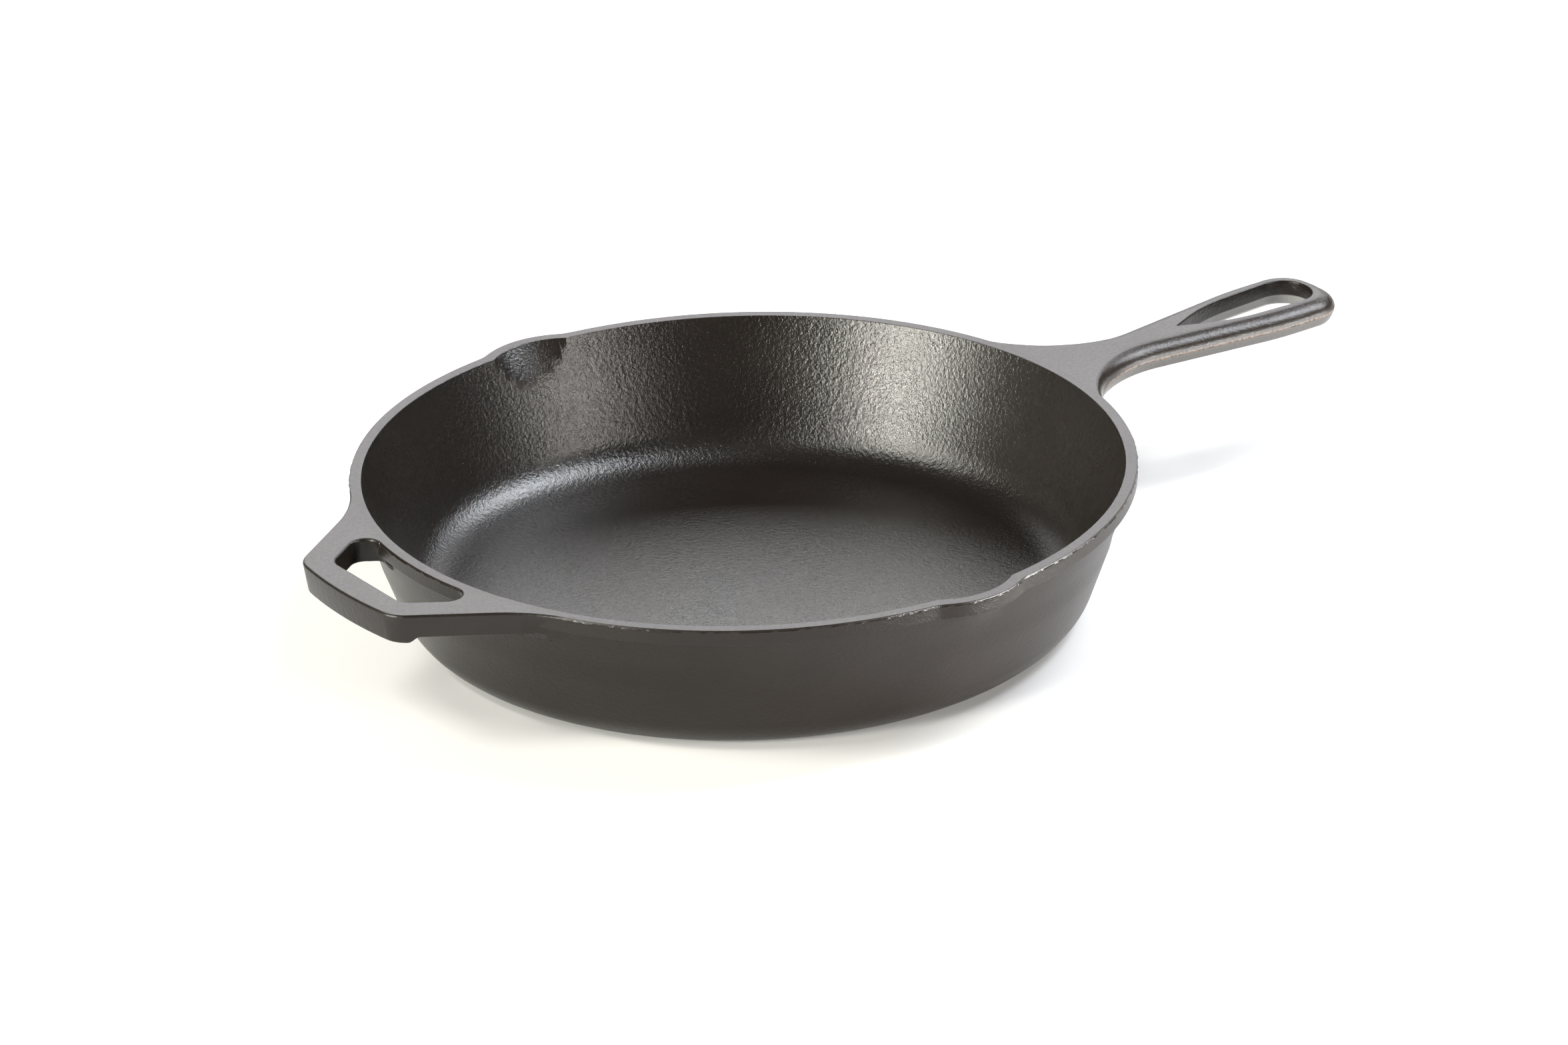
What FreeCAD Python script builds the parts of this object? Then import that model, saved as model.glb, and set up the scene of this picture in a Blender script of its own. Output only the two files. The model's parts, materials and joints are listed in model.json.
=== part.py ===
"""Cast iron skillet with two pour spouts, a long handle and a helper handle.

The real skillet is poured as one piece of iron.  It is modelled here as the named regions
of that casting, each a closed solid, and every region meets its neighbours face to face.
Origin: centre of the underside, +Z up, +X towards the long handle.  Lengths in millimetres.
"""
import FreeCAD, Part
import math
import os

import Sketcher

DIMENSIONS = {
    # pan, all radii about the Z axis
    "rim_height": 50.2,
    "rim_inner_radius": 126.0,
    "rim_flat_radius": 130.2,
    "lip_radius": 130.6,
    "lip_drop": 0.6,
    "band_radius": 130.3,
    "band_height": 5.1,
    "band_ledge": 0.9,
    "wall_top_radius": 128.2,
    "base_corner_radius": 112.2,
    "heel_radius": 14.5,
    "floor_thickness": 4.4,
    "floor_fillet": 16.0,
    "disc_radius": 94.0,
    "heel_height": 20.0,
    # pour spouts, cut and bulged by leaning cylinders
    "spout_half_width": 24.0,
    "spout_depth": 17.0,
    "scoop_reach": 129.8,
    "scoop_radius": 30.0,
    "bulge_reach": 133.4,
    "bulge_radius": 34.0,
    "spout_lean": 33.9,
    "lug_reach": 134.4,
    "lug_radius": 26.0,
    "lug_blend": 20.0,
    # long handle
    "handle_thickness": 8.7,
    "root_inside": 110.0,
    "flare_start": 124.4,
    "flare_spread": 39.1,
    "flare_corner_position": 131.2,
    "flare_corner": 21.3,
    "flare_radius": 38.0,
    "neck_position": 156.7,
    "neck_corner": 8.8,
    "neck_radius": 40.0,
    "grip_half_width": 17.05,
    "shoulder_position": 217.8,
    "shoulder_radius": 110.0,
    "end_corner": 247.5,
    "end_corner_radius": 13.5,
    "handle_tip": 248.5,
    "handle_tip_radius": 30.0,
    "crest_rounding": 4.2,
    "underside_rounding": 1.2,
    "root_length": 150.0,
    # hanging hole through the long handle
    "hole_point": 184.4,
    "hole_shoulder": 202.5,
    "hole_shoulder_half": 8.1,
    "hole_shoulder_radius": 60.0,
    "hole_end": 241.8,
    "hole_end_half": 10.5,
    "hole_end_radius": 9.5,
    # helper handle
    "helper_tip": 158.2,
    "helper_tip_corner": 155.9,
    "helper_tip_half": 27.0,
    "helper_tip_radius": 11.0,
    "helper_draft": 7.0,
    "helper_root": 120.15,
    "helper_root_half": 51.9,
    "helper_blend_radius": 54.0,
    "helper_start": 112.6,
    "helper_start_half": 65.0,
    "helper_arm_thickness": 8.2,
    "helper_bar_thickness": 10.2,
    "helper_bar_width": 8.0,
    "finger_hole_far": 147.6,
    "finger_hole_far_half": 19.9,
    "finger_hole_near": 125.4,
    "finger_hole_near_half": 35.4,
    "finger_hole_far_radius": 6.0,
    "finger_hole_near_radius": 5.0,
}


class Linked:
    """A length or ratio that also carries the spreadsheet formula it comes from."""

    def __init__(self, value, text):
        self.value = value
        self.text = text

    @staticmethod
    def of(other):
        return other if isinstance(other, Linked) else Linked(float(other), repr(float(other)))

    def __add__(self, other):
        other = Linked.of(other)
        return Linked(self.value + other.value, f"({self.text} + {other.text})")

    def __sub__(self, other):
        other = Linked.of(other)
        return Linked(self.value - other.value, f"({self.text} - {other.text})")

    def __mul__(self, other):
        other = Linked.of(other)
        return Linked(self.value * other.value, f"({self.text} * {other.text})")

    def __truediv__(self, other):
        other = Linked.of(other)
        return Linked(self.value / other.value, f"({self.text} / {other.text})")

    def __neg__(self):
        return Linked(-self.value, f"(-{self.text})")


def make_sheet(doc):
    """Write the driving dimensions and return them as linked numbers by name."""
    sheet = doc.addObject("Spreadsheet::Sheet", "Dimensions")
    for row, (alias, value) in enumerate(DIMENSIONS.items(), start=1):
        sheet.set(f"A{row}", alias)
        sheet.set(f"B{row}", str(value))
        sheet.setAlias(f"B{row}", alias)
    doc.recompute()
    return {alias: Linked(float(value), f"Dimensions.{alias}") for alias, value in DIMENSIONS.items()}


def bind(thing, name, length):
    """Set a property of thing to a linked number and tie it to the spreadsheet."""
    setattr(thing, name, length.value)
    thing.setExpression(name, length.text)


def new_body(doc, label):
    body = doc.addObject("PartDesign::Body", label)
    body.Label = label
    return body


def new_sketch(body, name, role, height=None):
    """Attach a sketch to one of the body's own origin planes, raised by height."""
    sketch = body.newObject("Sketcher::SketchObject", name)
    plane = next(item for item in body.Origin.OriginFeatures if item.Role == role)
    sketch.AttachmentSupport = [(plane, "")]
    sketch.MapMode = "FlatFace"
    if height is not None:
        sketch.AttachmentOffset = FreeCAD.Placement(FreeCAD.Vector(0, 0, height.value), FreeCAD.Rotation())
        sketch.setExpression("AttachmentOffset.Base.z", height.text)
    return sketch


def polygon(sketch, corners, arcs=None):
    """Draw a closed outline whose corners are tied to the spreadsheet.

    arcs maps a side's number to its radius and the way it bulges (+1 to the right of travel).
    """
    arcs = arcs or {}
    count = len(corners)
    points = [FreeCAD.Vector(x.value, y.value, 0) for x, y in corners]
    for side in range(count):
        first, last = points[side], points[(side + 1) % count]
        if side in arcs:
            radius, way = arcs[side]
            sketch.addGeometry(arc_between(first, last, radius.value, way), False)
        else:
            sketch.addGeometry(Part.LineSegment(first, last), False)
    ends = [arc_ends(sketch, side, points[side]) for side in range(count)]
    for side in range(count):
        following = (side + 1) % count
        sketch.addConstraint(Sketcher.Constraint(
            "Coincident", side, ends[side][1], following, ends[following][0]))
    for side, (x, y) in enumerate(corners):
        tie(sketch, "DistanceX", side, ends[side][0], x)
        tie(sketch, "DistanceY", side, ends[side][0], y)
    for side, (radius, way) in arcs.items():
        index = sketch.addConstraint(Sketcher.Constraint("Radius", side, radius.value))
        sketch.setExpression(f"Constraints[{index}]", radius.text)


def arc_between(first, last, radius, way):
    """Short arc of a given radius from first to last, bulging to one side of the chord."""
    chord = last - first
    half = chord.Length / 2
    rise = radius - math.sqrt(radius ** 2 - half ** 2)
    right = FreeCAD.Vector(chord.y, -chord.x, 0).normalize()
    middle = (first + last) * 0.5 + right * (rise * way)
    return Part.Arc(first, middle, last)


def arc_ends(sketch, side, first):
    """Which of a side's two ends, 1 or 2, comes first along the outline."""
    start = sketch.getPoint(side, 1)
    return (1, 2) if start.distanceToPoint(first) < 1e-6 else (2, 1)


def tie(sketch, kind, side, end, length):
    """Hold one coordinate of a point at a linked number measured from the sketch's origin."""
    if abs(length.value) < 1e-9:
        axis = -2 if kind == "DistanceX" else -1
        sketch.addConstraint(Sketcher.Constraint("PointOnObject", side, end, axis))
        return
    index = sketch.addConstraint(Sketcher.Constraint(kind, -1, 1, side, end, length.value))
    sketch.setExpression(f"Constraints[{index}]", length.text)


def pad(body, sketch, length):
    """Raise a sketch's outline into a solid."""
    feature = body.newObject("PartDesign::Pad", sketch.Name + "_pad")
    feature.Profile = sketch
    bind(feature, "Length", length)
    return finish_feature(body, feature, +1)


def drafted_pad(body, sketch, length, draft):
    """Drop a sketch's outline into a solid whose sides draw in towards its underside."""
    feature = body.newObject("PartDesign::Pad", sketch.Name + "_pad")
    feature.Profile = sketch
    bind(feature, "Length", length)
    feature.Reversed = True
    feature.TaperAngle = -draft.value
    feature.setExpression("TaperAngle", (-draft).text)
    return finish_feature(body, feature, +1)


def pocket(body, sketch, both_ways=False):
    """Cut a sketch's outline right through the body."""
    before = body.Shape.Volume
    feature = body.newObject("PartDesign::Pocket", sketch.Name + "_pocket")
    feature.Profile = sketch
    feature.Type = 1
    feature.Midplane = both_ways
    return finish_feature(body, feature, -1, before)


def revolve(body, sketch, cut=False):
    """Turn a profile a full circle about the vertical axis, to add or to remove."""
    before = body.Shape.Volume if cut else 0
    kind = "PartDesign::Groove" if cut else "PartDesign::Revolution"
    feature = body.newObject(kind, sketch.Name + "_turned")
    feature.Profile = sketch
    feature.ReferenceAxis = (sketch, ["V_Axis"])
    feature.Angle = 360
    return finish_feature(body, feature, -1 if cut else +1, before)


def round_edges(body, base, edges, radius):
    feature = body.newObject("PartDesign::Fillet", "rounding")
    feature.Base = (base, edges)
    bind(feature, "Radius", radius)
    return finish_feature(body, feature, 0)


def finish_feature(body, feature, change, before=0.0):
    """Recompute, make sure that the feature did its work, and return it."""
    body.Document.recompute()
    if not feature.isValid() or feature.Shape.isNull():
        raise RuntimeError(f"{body.Label}: {feature.Label} failed")
    difference = feature.Shape.Volume - before
    if change * difference < 0 or (change and abs(difference) < 1):
        raise RuntimeError(f"{body.Label}: {feature.Label} changed the volume by {difference:.2f}")
    return feature


def upright_edges(shape, places):
    """Names of the upright edges whose tops stand at any of the given plan positions."""
    names = []
    for number, edge in enumerate(shape.Edges, start=1):
        ends = sorted((vertex.Point for vertex in edge.Vertexes), key=lambda point: point.z)
        if len(ends) != 2 or ends[1].z - ends[0].z < 1:
            continue
        if any(math.hypot(ends[1].x - x, ends[1].y - y) < 1e-3 for x, y in places):
            names.append(f"Edge{number}")
    if len(names) != len(places):
        raise RuntimeError(f"expected {len(places)} upright edges, found {len(names)}")
    return names


def level_edges(shape, height, nearest, farthest):
    """Names of the level edges at a height whose middle lies between two plan radii."""
    names = []
    for number, edge in enumerate(shape.Edges, start=1):
        box = edge.BoundBox
        middle = edge.valueAt((edge.FirstParameter + edge.LastParameter) / 2)
        reach = math.hypot(middle.x, middle.y)
        if abs(box.ZMin - height) < 1e-4 and abs(box.ZMax - height) < 1e-4 and nearest < reach < farthest:
            names.append(f"Edge{number}")
    return names


def mirrored_pair(x, y):
    """Both corners at the same x, one each side of the X axis."""
    return [(x.value, -y.value), (x.value, y.value)]


class Profile:
    """Radii of the pan's section, as linked numbers."""

    def __init__(self, size):
        self.size = size
        wall_drop = size["rim_height"] - size["band_height"]
        self.slope = (size["wall_top_radius"] - size["base_corner_radius"]) / wall_drop
        steepness = math.degrees(math.atan(self.slope.value))
        self.half_turn = Linked(math.tan(math.radians((90 - steepness) / 2)),
                                f"tan(45deg - atan({self.slope.text}) / 2)")
        self.cosine = Linked(math.cos(math.radians(steepness)), f"cos(atan({self.slope.text}))")

    def outer(self, height):
        """Outer wall radius at a height."""
        return self.size["base_corner_radius"] + self.slope * height

    def inner(self, height):
        """Inner wall radius at a height."""
        return self.size["rim_inner_radius"] - self.slope * (self.size["rim_height"] - height)

    def corner(self, corner_radius, radius, level):
        """Points where a fillet between the floor and the wall leaves each of them."""
        length = radius * self.half_turn
        on_floor = (corner_radius - length, level)
        rise = length * self.cosine
        on_wall = (corner_radius + rise * self.slope, level + rise)
        return on_floor, on_wall

    def band_side(self):
        """Outer face of the rim band, from its top edge down to the wall."""
        size = self.size
        top = size["rim_height"]
        foot = top - size["band_height"]
        return [
            (size["rim_flat_radius"], top),
            (size["lip_radius"], top - size["lip_drop"]),
            (size["band_radius"], top - size["lip_drop"] * 3),
            (size["band_radius"], foot),
            (self.outer(foot - size["band_ledge"]), foot - size["band_ledge"]),
        ]


def build_cooking_floor(doc, size):
    """Flat disc that the pan stands on and cooks on."""
    body = new_body(doc, "cooking_floor")
    sketch = new_sketch(body, "floor_outline", "XY_Plane")
    sketch.addGeometry(Part.Circle(FreeCAD.Vector(), FreeCAD.Vector(0, 0, 1), size["disc_radius"].value))
    sketch.addConstraint(Sketcher.Constraint("Coincident", 0, 3, -1, 1))
    index = sketch.addConstraint(Sketcher.Constraint("Radius", 0, size["disc_radius"].value))
    sketch.setExpression(f"Constraints[{index}]", size["disc_radius"].text)
    pad(body, sketch, size["floor_thickness"])
    return body


def build_heel_ring(doc, size, section):
    """Rounded corner that turns the floor up into the wall."""
    body = new_body(doc, "heel_ring")
    sketch = new_sketch(body, "heel_profile", "XZ_Plane")
    zero = Linked.of(0)
    seam, thickness = size["heel_height"], size["floor_thickness"]
    base_end, heel_end = section.corner(size["base_corner_radius"], size["heel_radius"], zero)
    floor_end, wall_end = section.corner(section.inner(thickness), size["floor_fillet"], thickness)
    corners = [
        (size["disc_radius"], zero), base_end, heel_end, (section.outer(seam), seam),
        (section.inner(seam), seam), wall_end, floor_end, (size["disc_radius"], thickness),
    ]
    polygon(sketch, corners, {1: (size["heel_radius"], +1), 5: (size["floor_fillet"], -1)})
    revolve(body, sketch)
    return body


def cut_spout_gaps(body, size):
    """Take out the two stretches of wall and rim that belong to the pour spouts."""
    sketch = new_sketch(body, body.Label + "_gap", "XZ_Plane")
    half, top = size["spout_half_width"], size["rim_height"]
    low, high = top - size["spout_depth"], top + size["band_height"]
    polygon(sketch, [(-half, low), (half, low), (half, high), (-half, high)])
    pocket(body, sketch, both_ways=True)


def wall_profile(body, size, section, name):
    """Half-section of the straight wall, from the heel up to the rim band."""
    sketch = new_sketch(body, name, "XZ_Plane")
    seam = size["heel_height"]
    top = size["rim_height"] - size["band_height"] - size["band_ledge"]
    polygon(sketch, [(section.outer(seam), seam), (section.outer(top), top),
                     (section.inner(top), top), (section.inner(seam), seam)])
    return sketch


def band_profile(body, size, section, name):
    """Half-section of the thicker band round the rim, with its thin parting lip."""
    sketch = new_sketch(body, name, "XZ_Plane")
    side = section.band_side()
    foot = side[-1][1]
    polygon(sketch, side + [(section.inner(foot), foot), (size["rim_inner_radius"], size["rim_height"])])
    return sketch


def build_side_wall(doc, size, section):
    body = new_body(doc, "side_wall")
    revolve(body, wall_profile(body, size, section, "wall_profile"))
    cut_spout_gaps(body, size)
    return body


def build_rim_band(doc, size, section):
    body = new_body(doc, "rim_band")
    revolve(body, band_profile(body, size, section, "band_profile"))
    cut_spout_gaps(body, size)
    return body


def leaning_cylinder(doc, name, size, side, radius, reach):
    """Cylinder that leans outward, its outermost line at a given reach on the rim plane."""
    cylinder = doc.addObject("Part::Cylinder", name)
    bind(cylinder, "Radius", radius)
    bind(cylinder, "Height", size["rim_height"] * 2)
    lean = math.radians(size["spout_lean"].value)
    axis = FreeCAD.Vector(0, side * math.sin(lean), math.cos(lean))
    centre = reach.value - radius.value / math.cos(lean)
    on_rim = FreeCAD.Vector(0, side * centre, size["rim_height"].value)
    cylinder.Placement = FreeCAD.Placement(
        on_rim - axis * size["rim_height"].value, FreeCAD.Rotation(FreeCAD.Vector(0, 0, 1), axis))
    return cylinder


def spout_block(doc, name, size, side):
    """Upright box that holds one spout's share of the wall and rim."""
    box = doc.addObject("Part::Box", name)
    bind(box, "Length", size["spout_half_width"] * 2)
    bind(box, "Width", size["lug_reach"])
    bind(box, "Height", size["spout_depth"])
    bottom = (size["rim_height"] - size["spout_depth"]).value
    near_side = 0 if side > 0 else -size["lug_reach"].value
    box.Placement.Base = FreeCAD.Vector(-size["spout_half_width"].value, near_side, bottom)
    return box


def lug_outline(body, size, name, side):
    """Plan of the rim where it swells round a spout: one round nose with two hollow blends."""
    sketch = new_sketch(body, name, "XY_Plane", size["rim_height"] - size["band_height"])
    rim, nose, blend = (size[key].value for key in ("band_radius", "lug_radius", "lug_blend"))
    middle = size["lug_reach"].value - nose
    from_rim, from_nose = rim + blend, nose + blend
    blend_y = (from_rim ** 2 - from_nose ** 2 + middle ** 2) / (2 * middle)
    blend_x = math.sqrt(from_rim ** 2 - blend_y ** 2)
    rim_point = FreeCAD.Vector(blend_x, blend_y, 0) * (rim / from_rim)
    share = nose / from_nose
    nose_point = FreeCAD.Vector(blend_x * share, middle + (blend_y - middle) * share, 0)
    in_cavity = (size["rim_inner_radius"] - size["lip_drop"]).value * 0.95

    def place(x, y):
        return FreeCAD.Vector(x, side * y, 0)

    right = [place(rim_point.x, rim_point.y), place(nose_point.x, nose_point.y)]
    left = [place(-rim_point.x, rim_point.y), place(-nose_point.x, nose_point.y)]
    low_right, low_left = place(rim_point.x, in_cavity), place(-rim_point.x, in_cavity)
    sketch.addGeometry([
        Part.LineSegment(low_left, low_right),
        Part.LineSegment(low_right, right[0]),
        arc_between(right[0], right[1], blend, -side),
        arc_between(right[1], left[1], nose, side),
        arc_between(left[1], left[0], blend, -side),
        Part.LineSegment(left[0], low_left),
    ], False)
    return sketch


def build_spout(doc, size, section, label, side):
    """One pour spout: a stretch of wall and rim, bulged outward and scooped from inside."""
    ring = new_body(doc, label + "_ring")
    revolve(ring, wall_profile(ring, size, section, label + "_wall"))
    revolve(ring, band_profile(ring, size, section, label + "_band"))
    lug = new_body(doc, label + "_lug")
    pad(lug, lug_outline(lug, size, label + "_nose", side), size["band_height"])
    cavity = new_body(doc, label + "_cavity")
    hollow = new_sketch(cavity, label + "_hollow", "XZ_Plane")
    low, high = size["heel_height"], size["rim_height"]
    zero = Linked.of(0)
    polygon(hollow, [(zero, low), (section.inner(low), low), (section.inner(high), high), (zero, high)])
    revolve(cavity, hollow)
    bulge = leaning_cylinder(doc, label + "_bulge", size, side, size["bulge_radius"], size["bulge_reach"])
    scoop = leaning_cylinder(doc, label + "_scoop", size, side, size["scoop_radius"], size["scoop_reach"])
    block = spout_block(doc, label + "_block", size, side)
    solid = doc.addObject("Part::MultiFuse", label + "_solid")
    solid.Shapes = [ring, lug, bulge]
    trimmed = doc.addObject("Part::Common", label + "_trimmed")
    trimmed.Base, trimmed.Tool = solid, block
    removed = doc.addObject("Part::MultiFuse", label + "_removed")
    removed.Shapes = [cavity, scoop]
    spout = doc.addObject("Part::Cut", label)
    spout.Base, spout.Tool = trimmed, removed
    spout.Label = label
    doc.recompute()
    return spout


def cut_pan_away(body, size, section):
    """Remove what a handle blank shares with the pan, so the two meet face to face."""
    sketch = new_sketch(body, body.Label + "_pan", "XZ_Plane")
    zero = Linked.of(0)
    side = section.band_side()
    above = size["rim_height"] + size["band_height"]
    low = size["heel_height"]
    corners = [(zero, above), (size["rim_flat_radius"], above)] + side
    corners += [(section.outer(low), low), (zero, low)]
    polygon(sketch, corners)
    revolve(body, sketch, cut=True)


def build_handle_blank(doc, size, section):
    """Long handle before it is divided: flared root, waisted neck and looped grip."""
    body = new_body(doc, "handle_blank")
    top, bottom = size["rim_height"], size["rim_height"] - size["handle_thickness"]
    sketch = new_sketch(body, "handle_plan", "XY_Plane", bottom)
    near = [
        (size["root_inside"], size["flare_spread"]),
        (size["flare_start"], size["flare_spread"]),
        (size["flare_corner_position"], size["flare_corner"]),
        (size["neck_position"], size["neck_corner"]),
        (size["shoulder_position"], size["grip_half_width"]),
        (size["end_corner"], size["grip_half_width"]),
    ]
    outline = [(x, -y) for x, y in near] + [(size["handle_tip"], Linked.of(0))] + near[::-1]
    polygon(sketch, outline)
    feature = pad(body, sketch, size["handle_thickness"])
    roundings = [(near[2], "flare_radius"), (near[3], "neck_radius"),
                 (near[4], "shoulder_radius"), (near[5], "end_corner_radius")]
    for (x, y), radius in roundings:
        edges = upright_edges(feature.Shape, mirrored_pair(x, y))
        feature = round_edges(body, feature, edges, size[radius])
    edges = upright_edges(feature.Shape, [(size["handle_tip"].value, 0)])
    feature = round_edges(body, feature, edges, size["handle_tip_radius"])
    feature = cut_hanging_hole(body, size)
    # the outer edges of the grip are the level ones that reach past the hole's end
    near_tip, past_tip = size["hole_end"].value + 2, size["handle_tip"].value + 1
    edges = level_edges(feature.Shape, top.value, near_tip, past_tip)
    feature = round_edges(body, feature, edges[:1], size["crest_rounding"])
    edges = level_edges(feature.Shape, bottom.value, near_tip, past_tip)
    feature = round_edges(body, feature, edges[:1], size["underside_rounding"])
    cut_pan_away(body, size, section)
    return body


def cut_hanging_hole(body, size):
    """Teardrop hole, pointed towards the pan and round at the handle's end."""
    plan = new_sketch(body, "hanging_hole", "XY_Plane", size["rim_height"])
    shoulder = (size["hole_shoulder"], size["hole_shoulder_half"])
    end = (size["hole_end"], size["hole_end_half"])
    point = (size["hole_point"], Linked.of(0))
    polygon(plan, [point, (shoulder[0], -shoulder[1]), (end[0], -end[1]), end, shoulder])
    feature = pocket(body, plan)
    for (x, y), radius in ((shoulder, "hole_shoulder_radius"), (end, "hole_end_radius")):
        edges = upright_edges(feature.Shape, mirrored_pair(x, y))
        feature = round_edges(body, feature, edges, size[radius])
    return feature


def divide_handle(doc, blank, size, label, inner_part):
    """Keep one side of the plane where the handle's root ends and its grip begins."""
    box = doc.addObject("Part::Box", label + "_side")
    seam = size["root_length"]
    length = seam if inner_part else size["handle_tip"] - seam + size["crest_rounding"]
    bind(box, "Length", length)
    bind(box, "Width", size["flare_spread"] * 4)
    bind(box, "Height", size["rim_height"] * 2)
    start = 0 if inner_part else seam.value
    box.Placement.Base = FreeCAD.Vector(start, -size["flare_spread"].value * 2, 0)
    piece = doc.addObject("Part::Common", label)
    piece.Base, piece.Tool = blank, box
    piece.Label = label
    doc.recompute()
    return piece


def build_helper_handle(doc, size, section):
    """Short looped handle opposite the long one: two arms and a thicker finger bar."""
    body = new_body(doc, "helper_handle")
    sketch = new_sketch(body, "helper_plan", "XY_Plane", size["rim_height"])
    tip = (-size["helper_tip_corner"], size["helper_tip_half"])
    root = (-size["helper_root"], size["helper_root_half"])
    start = (-size["helper_start"], size["helper_start_half"])
    inside = (-size["disc_radius"], size["helper_root_half"])
    half = [tip, root, start, inside]
    outline = half + [(x, -y) for x, y in half[::-1]]
    polygon(sketch, outline, {len(outline) - 1: (size["helper_tip"], -1)})
    feature = drafted_pad(body, sketch, size["helper_bar_thickness"], size["helper_draft"])
    for (x, y), radius in ((tip, "helper_tip_radius"), (root, "helper_blend_radius")):
        edges = upright_edges(feature.Shape, mirrored_pair(x, y))
        feature = round_edges(body, feature, edges, size[radius])
    cut_arm_underside(body, size)
    cut_finger_hole(body, size)
    cut_pan_away(body, size, section)
    return body


def cut_arm_underside(body, size):
    """Thin the arms from below and leave the finger bar thick."""
    level = size["rim_height"] - size["helper_arm_thickness"]
    sketch = new_sketch(body, "arm_underside", "XY_Plane", level)
    bar_side = -(size["helper_tip"] - size["helper_bar_width"])
    half = size["helper_start_half"] * 1.2
    inner = -size["disc_radius"] * 0.9
    polygon(sketch, [(bar_side, -half), (inner, -half), (inner, half), (bar_side, half)])
    pocket(body, sketch)


def cut_finger_hole(body, size):
    """Finger hole: straight along the bar and the arms, round along the pan."""
    sketch = new_sketch(body, "finger_hole", "XY_Plane", size["rim_height"])
    far = (-size["finger_hole_far"], size["finger_hole_far_half"])
    near = (-size["finger_hole_near"], size["finger_hole_near_half"])
    outline = [far, (far[0], -far[1]), (near[0], -near[1]), near]
    polygon(sketch, outline, {2: (size["band_radius"], -1)})
    feature = pocket(body, sketch)
    for (x, y), radius in ((far, "finger_hole_far_radius"), (near, "finger_hole_near_radius")):
        edges = upright_edges(feature.Shape, mirrored_pair(x, y))
        feature = round_edges(body, feature, edges, size[radius])


def check(doc, pieces):
    """Stop if any object failed or any piece has no valid solid."""
    doc.recompute()
    for item in doc.Objects:
        if "Invalid" in item.State or "Error" in item.State:
            raise RuntimeError(f"{item.Label} is in state {item.State}")
    for piece in pieces:
        if piece.Shape.isNull() or not piece.Shape.isValid() or not piece.Shape.Solids:
            raise RuntimeError(f"{piece.Label} has no valid solid")


def main():
    doc = FreeCAD.newDocument("skillet")
    size = make_sheet(doc)
    section = Profile(size)
    blank = build_handle_blank(doc, size, section)
    pieces = [
        build_cooking_floor(doc, size),
        build_heel_ring(doc, size, section),
        build_side_wall(doc, size, section),
        build_rim_band(doc, size, section),
        build_spout(doc, size, section, "left_pour_spout", +1),
        build_spout(doc, size, section, "right_pour_spout", -1),
        divide_handle(doc, blank, size, "handle_root", True),
        divide_handle(doc, blank, size, "long_handle", False),
        build_helper_handle(doc, size, section),
    ]
    check(doc, pieces)
    os.makedirs("parts", exist_ok=True)
    for piece in pieces:
        piece.Shape.exportStep(f"parts/{piece.Label}.step")
        box = piece.Shape.BoundBox
        print(f"{piece.Label}: {piece.Shape.Volume / 1000:.1f} cm3, {len(piece.Shape.Solids)} solid, "
              f"x {box.XMin:.1f}..{box.XMax:.1f}, y {box.YMin:.1f}..{box.YMax:.1f}, "
              f"z {box.ZMin:.1f}..{box.ZMax:.1f}")


main()
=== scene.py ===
"""Looks of the cast iron skillet: a fine mesh for each named region, iron materials and a studio.

Everything is in metres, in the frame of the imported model: origin at the centre of the underside,
+Z up, +X along the long handle.
"""
import json
import math

import bpy
import numpy as np
from mathutils import Matrix, Vector
from mathutils.geometry import delaunay_2d_cdt


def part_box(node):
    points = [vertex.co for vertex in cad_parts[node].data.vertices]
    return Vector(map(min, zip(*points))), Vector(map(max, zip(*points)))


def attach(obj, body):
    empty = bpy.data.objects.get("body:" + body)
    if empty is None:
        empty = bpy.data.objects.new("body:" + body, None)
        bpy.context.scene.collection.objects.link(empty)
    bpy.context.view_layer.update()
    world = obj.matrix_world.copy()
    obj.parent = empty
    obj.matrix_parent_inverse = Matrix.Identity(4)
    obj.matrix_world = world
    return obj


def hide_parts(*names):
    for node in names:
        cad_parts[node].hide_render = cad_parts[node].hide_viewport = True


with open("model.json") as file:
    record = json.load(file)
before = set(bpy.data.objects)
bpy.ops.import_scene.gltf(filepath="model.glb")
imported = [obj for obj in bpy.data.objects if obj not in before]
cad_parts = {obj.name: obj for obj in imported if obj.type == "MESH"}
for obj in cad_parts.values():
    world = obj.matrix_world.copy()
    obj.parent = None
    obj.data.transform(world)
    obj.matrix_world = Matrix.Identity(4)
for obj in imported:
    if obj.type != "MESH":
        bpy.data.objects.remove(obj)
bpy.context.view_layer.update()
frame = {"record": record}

MM = 0.001

# Sizes read from the frame
RIM_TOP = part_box("rim_band")[1].z
LIP_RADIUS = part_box("rim_band")[1].x
BAND_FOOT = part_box("rim_band")[0].z
FLOOR_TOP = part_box("cooking_floor")[1].z
DISC_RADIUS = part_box("cooking_floor")[1].x
HEEL_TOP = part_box("heel_ring")[1].z
HEEL_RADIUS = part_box("heel_ring")[1].x
WALL_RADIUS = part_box("side_wall")[1].x
SPOUT_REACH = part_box("left_pour_spout")[1].y
HANDLE_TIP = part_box("long_handle")[1].x
GRIP_HALF_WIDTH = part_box("long_handle")[1].y
HANDLE_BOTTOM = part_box("long_handle")[0].z
HELPER_TIP = -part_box("helper_handle")[0].x
HELPER_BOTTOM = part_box("helper_handle")[0].z
LID_SEAT = next(mount for mount in frame["record"]["mounts"] if mount["name"] == "lid_seat")
RIM_RADIUS = LID_SEAT["dims"]["r_mm"] * MM

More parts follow.
